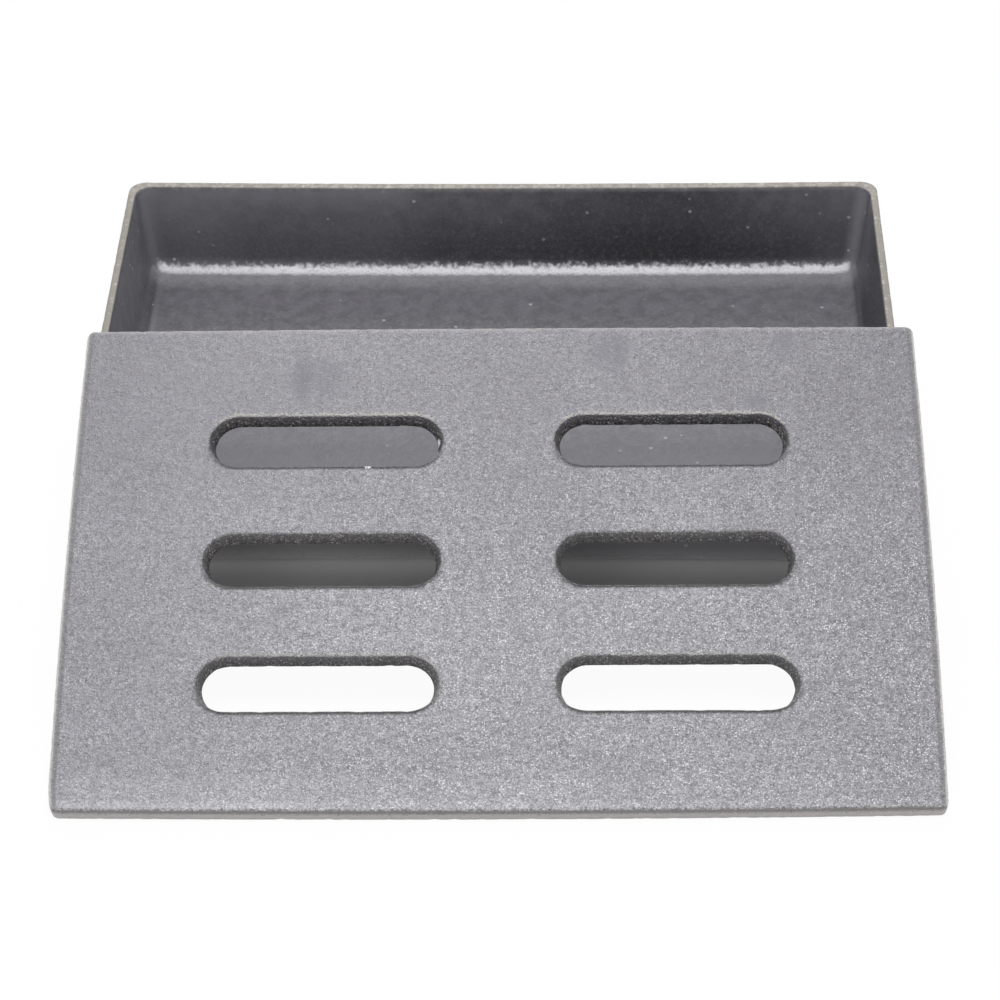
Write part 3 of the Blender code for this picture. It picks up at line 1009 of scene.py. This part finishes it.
def wall_painted_light(tree, axes, eastern, hollow):
    """How much painted light brightens the hollow's walls at both ends, along the left run and in the
    corners.
    """
    lead = painted(tree, "wall_lead")
    wall = painted(tree, "wall")
    short_side = stepped(tree, lead, *SHORT_SIDE_STEP)
    left = stepped(tree, axes["X"], *LIGHT_LEFT_STEP)
    left = times(tree, left, stepped(tree, short_side, *LIGHT_LEFT_SHORT_STEP))
    left = times(tree, left, stepped(tree, wall, *LIGHT_LEFT_WALL_STEP))
    run = times(tree, stepped(tree, axes["X"], *LIGHT_RUN_STEP), stepped(tree, lead, *LONG_SIDE_STEP))
    run = times(tree, run, stepped(tree, wall, *LIGHT_RUN_WALL_STEP))
    right = stepped(tree, axes["X"], *LIGHT_RIGHT_STEP)
    right = times(tree, right, stepped(tree, lead, *LIGHT_RIGHT_LEAD_STEP))
    corner = stepped(tree, combined(tree, "ABSOLUTE", lead, 0), *CORNER_LEAD_STEP)
    corner = times(tree, corner, stepped(tree, eastern, *CORNER_EAST_STEP))
    light = larger(tree, larger(tree, left, run), larger(tree, right, corner))
    return times(tree, hollow, light)


def fillet_highlight_share(tree, layers, axes, hollow, speckle):
    """How strong the painted highlight is on the fillet at the long walls' foot, with its fade over the
    floor.
    """
    run = painted(tree, "long_run")
    ragged = minus(tree, layers["pebble"], NOISE_MIDDLE)
    ragged_run = plus(tree, run, times(tree, ragged, FILLET_HIGHLIGHT_RAGGED))
    ends = stepped(tree, combined(tree, "ABSOLUTE", axes["X"], 0), *FILLET_HIGHLIGHT_END_STEP)
    ends = times(tree, ends, stepped(tree, painted(tree, "wall_lead"), *FILLET_HIGHLIGHT_TURN_STEP))
    peak = times(tree, within(tree, ragged_run, FILLET_HIGHLIGHT_PEAK_SPAN), ends)
    tail = times(tree, within(tree, run, FILLET_HIGHLIGHT_TAIL_SPAN), FILLET_HIGHLIGHT_TAIL_SHARE)
    fillet_highlight = times(tree, larger(tree, peak, tail), stepped(tree, speckle, *FILLET_HIGHLIGHT_GRAIN_STEP))
    return times(tree, fillet_highlight, stepped(tree, hollow, *FILLET_HIGHLIGHT_TOP_STEP))


def tray_rim(tree, layers, axes, colour):
    """The tray's rubbed rim, mottled lighter at its back, with a few painted glint highlights."""
    mottled = stepped(tree, layers["pebble"], *RIM_GRAIN_STEP)
    mottled = times(tree, mottled, stepped(tree, axes["Y"], *RIM_BACK_STEP))
    iron = mixed(tree, times(tree, mottled, RIM_LIGHT_SHARE), RIM_IRON, RIM_LIGHT)
    colour = mixed(tree, worn_share(tree, layers), colour, iron)
    painted_glints = times(tree, dot_layer(tree, PEBBLE_LENGTH, *RIM_DOTS), painted(tree, "worn"))
    return mixed(tree, times(tree, painted_glints, RIM_DOT_SHARE), colour, SPECK_AND_PAINTED_GLINT_IRON)


def seen_rays(tree):
    """1 for the rays that see the background itself: camera, mirror and clear ones."""
    rays = add_node(tree, "ShaderNodeLightPath").outputs
    seen = larger(tree, rays["Is Camera Ray"], rays["Is Glossy Ray"])
    return larger(tree, seen, rays["Is Transmission Ray"])


def make_table():
    """A plain pale table that is white but where the lid covers it, by the tray's foot: there its
    colours are darker, a painted shade, with a faint painted glow.
    """
    bpy.ops.mesh.primitive_plane_add(size=TABLE_SIDE)
    table = bpy.context.object
    table.name = "table_top"
    material = bpy.data.materials.new("pale_table")
    material.use_nodes = True
    tree = material.node_tree
    tree.nodes.clear()
    axes = object_axes(tree)
    covered = within(tree, axes["Y"], SHADE_DEPTH_SPAN)
    covered = times(tree, within(tree, axes["X"], SHADE_WIDTH_SPAN), covered)
    # Under the lid only a little of the white glow stays, a faint painted light, a little less to the
    # right
    full = stepped(tree, axes["Y"], *COVERED_RUN_STEP, *COVERED_SHADE_SHARES)
    full = plus(tree, full, stepped(tree, axes["X"], *EAST_SHADE_STEP))
    full = combined(tree, "MINIMUM", full, 1)
    shade = stepped(tree, covered, 0, 1, OPEN_SHADE_SHARE, full)
    white = times(tree, minus(tree, 1, shade), seen_rays(tree))
    # Darker table colours where the lid covers it: painted shade
    tone = mixed(tree, stepped(tree, axes["Y"], *COVERED_RUN_STEP), TABLE_SHADED, TABLE_COVERED_SHADE)
    tone = mixed(tree, covered, TABLE_WHITE, tone)
    diffuse = add_node(tree, "ShaderNodeBsdfDiffuse", {"Color": tone})
    glow = add_node(tree, "ShaderNodeEmission", {"Color": (1, 1, 1, 1), "Strength": 1})
    inputs = {0: white, 1: diffuse.outputs[0], 2: glow.outputs[0]}
    joined = add_node(tree, "ShaderNodeMixShader", inputs)
    add_node(tree, "ShaderNodeOutputMaterial", {"Surface": joined.outputs[0]})
    table.data.materials.append(material)


def make_world():
    """White where the background is seen, and a low even fill for the rest."""
    world = bpy.data.worlds.new("studio")
    bpy.context.scene.world = world
    world.use_nodes = True
    tree = world.node_tree
    tree.nodes.clear()
    inputs = {"Color": (1, 1, 1, 1), "Strength": stepped(tree, seen_rays(tree), 0, 1, WORLD_FILL, 1)}
    background = add_node(tree, "ShaderNodeBackground", inputs)
    add_node(tree, "ShaderNodeOutputWorld", {"Surface": background.outputs[0]})


def make_lights():
    """Soft light mainly from above, with weaker ones from behind and from the front left."""
    for name, place, size, power in SOFTBOXES:
        light = bpy.data.lights.new(name, "AREA")
        light.shape = "RECTANGLE"
        light.size, light.size_y = size
        light.energy = power
        obj = bpy.data.objects.new(name, light)
        obj.location = place
        aim = Vector(LIT_PLACE) - Vector(place)
        obj.rotation_euler = aim.to_track_quat("-Z", "Y").to_euler()
        bpy.context.scene.collection.objects.link(obj)


def make_camera():
    """The photograph's own view."""
    camera = bpy.data.cameras.new("camera")
    camera.sensor_width = SENSOR_MM
    camera.lens = CAMERA_LENS_MM
    obj = bpy.data.objects.new("camera", camera)
    bpy.context.scene.collection.objects.link(obj)
    turn = Matrix.Rotation(CAMERA_YAW, 4, "Z")
    tip = Matrix.Rotation(math.pi / 2 - CAMERA_DOWN, 4, "X")
    roll = Matrix.Rotation(CAMERA_ROLL, 4, "Z")
    obj.matrix_world = Matrix.Translation(CAMERA_PLACE) @ turn @ tip @ roll
    bpy.context.scene.camera = obj


def dress(piece, material, body):
    """Give a casting its material and its place in the model."""
    piece.data.materials.append(material)
    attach(piece, body)
    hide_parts(body)


make_camera()
dress(make_tray(), tray_iron(), "tray")
dress(make_lid(), lid_iron(), "lid")
make_table()
make_world()
make_lights()
bpy.context.scene.view_settings.view_transform = "Standard"
